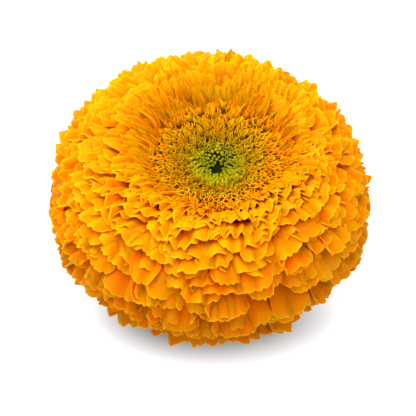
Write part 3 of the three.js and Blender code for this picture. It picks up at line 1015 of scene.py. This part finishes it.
class MARIGOLD_OT_green_florets(bpy.types.Operator):
    """Model the closed green florets that lean in over the middle of the eye"""
    bl_idname = "marigold.green_florets"
    bl_label = "Green florets"

    def execute(self, context):
        settings = context.scene.marigold_eye
        spacing = settings.green_spacing / MM
        outer = GREEN_RADIUS - 1.2
        forms = [
            model_green_floret("green_full", ribs=0.2, seed=1),
            model_green_floret("green_ribbed", ribs=0.4, seed=2),
            model_golden_floret("green_opening", flare=0.42, notch=0.35, tongue=0.3, seed=8),
        ]

        def place(radius, azimuth, draw):
            share = (radius - HOLLOW_RADIUS) / (outer - HOLLOW_RADIUS)
            dip = 1.6 * max(0.0, 1 - share) ** 1.5
            return floret_matrix(
                radius, azimuth, eye_height(radius) - dip + draw.uniform(-0.35, 0.25),
                length=draw.uniform(0.75, 1.0),
                lean=-1.05 + 0.5 * share + draw.normal(0, 0.12),
                width=(0.8 + 0.2 * share) * draw.uniform(0.85, 1.15),
                spin=draw.uniform(0, math.tau))

        florets = floret_patch(
            context, forms, HOLLOW_RADIUS, outer, (0.8 * spacing, spacing), seed=9, place=place)
        base = eye_base("green_base", 0.0, outer, drop=3.4, ridge=0.1)
        piece = join_pieces([*florets, base], "green_buds")
        lean_head(piece)
        material = floret_material(
            "green floret", inner=YOUNG_GREEN_COLOUR, outer=tuple(settings.green_colour),
            painted_shade_value=0.22, painted_shade_height=0.35)
        finish_piece(piece, material, "green_floret", "green_florets")
        self.report({"INFO"}, f"{len(florets)} green florets")
        return {"FINISHED"}


# Calyx

PALE_BRACT_COLOUR = (0.24, 0.36, 0.08, 1)
GLAND_COLOUR = (0.05, 0.1, 0.015, 1)
PITH_COLOUR = (0.66, 0.72, 0.42, 1)
# Depth of the grooves between the ribs, and of the fine ribs, as a share of the radius
GROOVE_DEPTH = 0.045
FINE_RIBS = 60
FINE_RIB_DEPTH = 0.008
CUT_SIDES = 48


class MARIGOLD_OT_calyx(bpy.types.Operator):
    """Model the ribbed green cup below the petals and its cut face"""
    bl_idname = "marigold.calyx"
    bl_label = "Calyx"

    def execute(self, context):
        settings = context.scene.marigold_calyx
        mouth = CALYX_MOUTH_RADIUS
        rings = [
            (CALYX_BASE_RADIUS - 0.2, 0.0), (CALYX_BASE_RADIUS, 0.25),
            (CALYX_BASE_RADIUS + 0.1, 1.8), (5.6, 3.1), (6.8, 4.2), (8.2, 5.8), (9.4, 7.6),
            (10.2, 9.4), (mouth, 11.0), (mouth, 11.8), (mouth - 0.4, 11.9), (mouth - 0.8, 11.2),
            (8.6, 9.0), (5.8, 6.6),
        ]
        cup = turned_shell("calyx_cup", rings, 2 * FINE_RIBS, closed_top=True)
        places = coordinates(cup.data) / MM
        azimuth = azimuth_of(places)
        radius = np.hypot(places[:, 0], places[:, 1])
        height = places[:, 2]
        wave = (1 - np.cos(CALYX_TEETH * azimuth)) / 2
        outside = radius > 0.9 * np.interp(height, [0, 4.2, 7.6, 11], [4.5, 6.8, 9.4, mouth])
        ribbed = smooth_step(2.0, 7.0, height) * outside
        ribs = FINE_RIB_DEPTH * np.cos(FINE_RIBS * azimuth) - GROOVE_DEPTH * (1 - wave)
        places[:, :2] *= (1 + ribbed * ribs)[:, None]
        at_mouth = smooth_step(10.4, 11.8, height)
        places[:, 2] += settings.tooth_height / MM * at_mouth * wave ** 1.5
        set_coordinates(cup.data, places * MM)
        shade_smooth(cup, crease=40)

        rings = [(CALYX_BASE_RADIUS - 0.25, 0.02), (3.4, 0.03), (2.6, 0.2), (1.0, 0.3)]
        cut = turned_shell("calyx_cut_face", rings, CUT_SIDES, closed_top=True)
        shade_smooth(cut)

        material, sheet, shader = new_material(
            "calyx bracts", roughness=0.42, subsurface=0.1,
            radius=(0.6 * MM, 1.2 * MM, 0.2 * MM))
        stretch = sheet.add("ShaderNodeMapping", {
            "Vector": sheet.object_place(), "Scale": (900, 900, 180)})
        streaks = sheet.add("ShaderNodeTexNoise", {
            "Vector": stretch.outputs[0], "Scale": 1.0, "Detail": 4.0})
        glands = sheet.add("ShaderNodeTexVoronoi", {
            "Vector": stretch.outputs[0], "Scale": 0.9})
        spots = sheet.step(0.12, 0.3, glands.outputs["Distance"])
        striped = sheet.mix_colour(
            streaks.outputs["Fac"], tuple(settings.bract_colour), PALE_BRACT_COLOUR)
        spotted = sheet.mix_colour(spots, GLAND_COLOUR, striped)
        bump = sheet.bump(streaks.outputs["Fac"], strength=0.4, distance=0.2 * MM)
        sheet.surface(shader, spotted, bump)
        finish_piece(cup, material, "calyx", "calyx")

        pith, sheet, shader = new_material(
            "cut stem", roughness=0.6, subsurface=0.2, radius=(1 * MM, 1 * MM, 0.5 * MM))
        place = sheet.object_place()
        fibres = sheet.add("ShaderNodeTexVoronoi", {"Vector": place, "Scale": 2600.0})
        distance = sheet.add("ShaderNodeVectorMath", {0: place}, operation="LENGTH")
        rind = sheet.step(2.8 * MM, 4.2 * MM, distance.outputs["Value"])
        fleshy = sheet.mix_colour(
            fibres.outputs["Distance"], tuple(settings.cut_colour), PITH_COLOUR)
        colour = sheet.mix_colour(rind, fleshy, PALE_BRACT_COLOUR)
        sheet.surface(shader, colour)
        finish_piece(cut, pith, "calyx", "calyx")
        return {"FINISHED"}


# Stage

LIGHT_AIM = Vector((0, 0, 22 * MM))
CAMERA_AIM = Vector((-0.5 * MM, 0, 17.4 * MM))
# Name, place, size and power of each light
LIGHTS = [("key", (-0.42, 0.24, 0.55), 0.5, 4.2), ("top", (0.0, -0.08, 0.7), 0.7, 4.3)]
WORLD_STRENGTH = 0.78
FLOOR_COLOUR = (0.36, 0.37, 0.38, 1)
# The floor glows, but less in an oval in front of the head and in a ring round its middle: a
# painted shadow, laid over the real one that the head casts there. A glow is a start and an end
# in millimetres, and the least glow.
FLOOR_GLOW = 0.8
FRONT_SHADOW_GLOW = (17, 33, 0.18)
FRONT_SHIFT = 46 * MM
FRONT_STRETCH = 2.2
MIDDLE_SHADOW_GLOW = (18, 30, 0.1)


def soft_light(name, place, size, power):
    bpy.ops.object.light_add(type="AREA", location=place)
    lamp = bpy.context.object
    lamp.name = name
    lamp.data.size = size
    lamp.data.energy = power
    lamp.rotation_euler = (LIGHT_AIM - Vector(place)).to_track_quat("-Z", "Y").to_euler()


def glow_round_painted_shadow(sheet, vector, start, end, least):
    """The floor's own light, least up to the start, where it paints a shadow, and full from the
    end on.
    """
    distance = sheet.add("ShaderNodeVectorMath", {0: vector}, operation="LENGTH")
    glow = sheet.add("ShaderNodeMapRange", {
        "Value": distance.outputs["Value"], "From Min": start * MM, "From Max": end * MM,
        "To Min": least, "To Max": FLOOR_GLOW})
    return glow.outputs["Result"]


class MARIGOLD_OT_stage(bpy.types.Operator):
    """Set up the pale floor, the soft lights and the camera"""
    bl_idname = "marigold.stage"
    bl_label = "Stage"

    def execute(self, context):
        settings = context.scene.marigold_stage
        deselect_all()
        bpy.ops.mesh.primitive_plane_add(size=4, location=(0, 0, 0))
        floor = bpy.context.object
        floor.name = "floor"
        material, sheet, shader = new_material(
            "white surface", roughness=0.8, subsurface=0.0, radius=(1, 1, 1))
        shader.inputs["Base Color"].default_value = FLOOR_COLOUR
        place = sheet.object_place()
        oval = sheet.add("ShaderNodeMapping", {
            "Vector": place, "Location": (0, FRONT_SHIFT, 0), "Scale": (1, FRONT_STRETCH, 1)})
        front_glow = glow_round_painted_shadow(sheet, oval.outputs[0], *FRONT_SHADOW_GLOW)
        middle_glow = glow_round_painted_shadow(sheet, place, *MIDDLE_SHADOW_GLOW)
        # The glow is least inside the oval or the ring: a painted shadow
        glow = sheet.maths("MINIMUM", front_glow, middle_glow)
        shader.inputs["Emission Strength"].default_value = 1.0
        material.node_tree.links.new(glow, shader.inputs["Emission Color"])
        floor.data.materials.append(material)

        world = context.scene.world or bpy.data.worlds.new("studio")
        context.scene.world = world
        world.use_nodes = True
        background = world.node_tree.nodes["Background"]
        background.inputs["Color"].default_value = (1, 1, 1, 1)
        background.inputs["Strength"].default_value = WORLD_STRENGTH
        for light in LIGHTS:
            soft_light(*light)

        context.scene.view_settings.view_transform = "Standard"
        context.scene.view_settings.look = "None"
        elevation = settings.camera_elevation
        away = Vector((0, -math.cos(elevation), math.sin(elevation)))
        bpy.ops.object.camera_add(location=CAMERA_AIM + away * settings.camera_distance)
        camera = bpy.context.object
        camera.name = "camera"
        camera.rotation_euler = (-away).to_track_quat("-Z", "Y").to_euler()
        camera.data.lens = settings.lens
        camera.data.clip_start = 0.01
        context.scene.camera = camera
        return {"FINISHED"}


OPERATORS = [
    MARIGOLD_OT_stage,
    MARIGOLD_OT_petal_core,
    MARIGOLD_OT_petals,
    MARIGOLD_OT_golden_florets,
    MARIGOLD_OT_green_florets,
    MARIGOLD_OT_calyx,
]


class MARIGOLD_PT_sidebar(bpy.types.Panel):
    """The flower head's pieces and their sizes"""
    bl_idname = "MARIGOLD_PT_sidebar"
    bl_label = "Marigold flower head"
    bl_space_type = "VIEW_3D"
    bl_region_type = "UI"
    bl_category = "Marigold"

    def draw(self, context):
        for name, group in SETTINGS.items():
            box = self.layout.box()
            for setting in group.__annotations__:
                box.prop(getattr(context.scene, name), setting)
        for operator in OPERATORS:
            self.layout.operator(operator.bl_idname)


def register():
    for group in [*SETTINGS.values(), *OPERATORS, MARIGOLD_PT_sidebar]:
        bpy.utils.register_class(group)
    for name, group in SETTINGS.items():
        setattr(bpy.types.Scene, name, bpy.props.PointerProperty(type=group))


def unregister():
    for name in SETTINGS:
        delattr(bpy.types.Scene, name)
    for group in reversed([*SETTINGS.values(), *OPERATORS, MARIGOLD_PT_sidebar]):
        bpy.utils.unregister_class(group)


def main():
    register()
    bpy.ops.marigold.stage()
    bpy.ops.marigold.petal_core()
    bpy.ops.marigold.petals()
    bpy.ops.marigold.golden_florets()
    bpy.ops.marigold.green_florets()
    bpy.ops.marigold.calyx()


if __name__ == "__main__":
    main()
